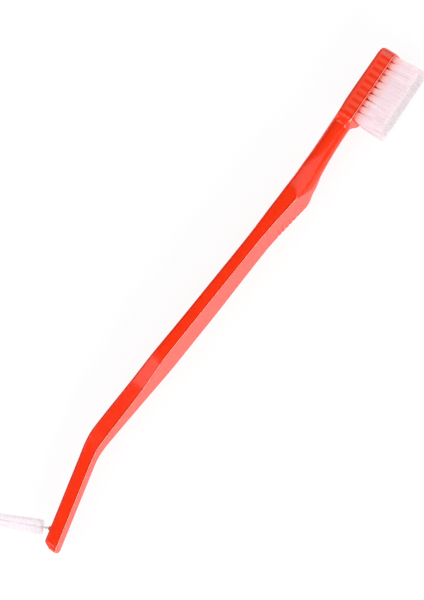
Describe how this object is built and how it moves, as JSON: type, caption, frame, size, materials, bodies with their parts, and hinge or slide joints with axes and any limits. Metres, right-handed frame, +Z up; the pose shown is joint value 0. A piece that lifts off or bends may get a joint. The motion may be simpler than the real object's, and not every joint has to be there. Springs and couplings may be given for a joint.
{
  "type": "pet toothbrush",
  "caption": "Slim long-handled pet toothbrush in translucent red plastic with an angled tufted head, a ribbed thumb grip and a small twisted-wire interdental brush set in its bent tail.",
  "frame": {"origin": "middle of the bottom of the bounding box, with the brush lying on the flat side of its handle", "axes": "+Y along the handle towards the tufted head, +X the way the bristles point, +Z up, across the handle's width"},
  "size_m": [0.0224, 0.1966, 0.0129],
  "materials": {
    "red_plastic": "translucent, polished, injection moulded",
    "nylon": "clear white nylon filament",
    "anchor_metal": "cut strip",
    "steel_wire": "drawn stainless wire"
  },
  "bodies": {
    "root": {"handle": "red_plastic", "bristles_tip_rows": "nylon", "bristles_middle_rows": "nylon", "bristles_heel_rows": "nylon", "anchor_01": "anchor_metal", "anchor_02": "anchor_metal", "anchor_03": "anchor_metal", "anchor_04": "anchor_metal", "anchor_05": "anchor_metal", "anchor_06": "anchor_metal", "anchor_07": "anchor_metal", "anchor_08": "anchor_metal", "anchor_09": "anchor_metal", "anchor_10": "anchor_metal", "anchor_11": "anchor_metal", "anchor_12": "anchor_metal", "anchor_13": "anchor_metal", "anchor_14": "anchor_metal", "anchor_15": "anchor_metal", "anchor_16": "anchor_metal", "anchor_17": "anchor_metal", "anchor_18": "anchor_metal", "anchor_19": "anchor_metal", "anchor_20": "anchor_metal", "anchor_21": "anchor_metal", "anchor_22": "anchor_metal", "anchor_23": "anchor_metal", "anchor_24": "anchor_metal", "anchor_25": "anchor_metal", "anchor_26": "anchor_metal", "anchor_27": "anchor_metal", "anchor_28": "anchor_metal", "anchor_29": "anchor_metal", "anchor_30": "anchor_metal", "anchor_31": "anchor_metal", "anchor_32": "anchor_metal", "anchor_33": "anchor_metal", "anchor_34": "anchor_metal", "anchor_35": "anchor_metal", "anchor_36": "anchor_metal", "anchor_37": "anchor_metal", "anchor_38": "anchor_metal", "anchor_39": "anchor_metal", "anchor_40": "anchor_metal", "interdental_wire": "steel_wire", "interdental_filaments": "nylon"}
  },
  "joints": []
}
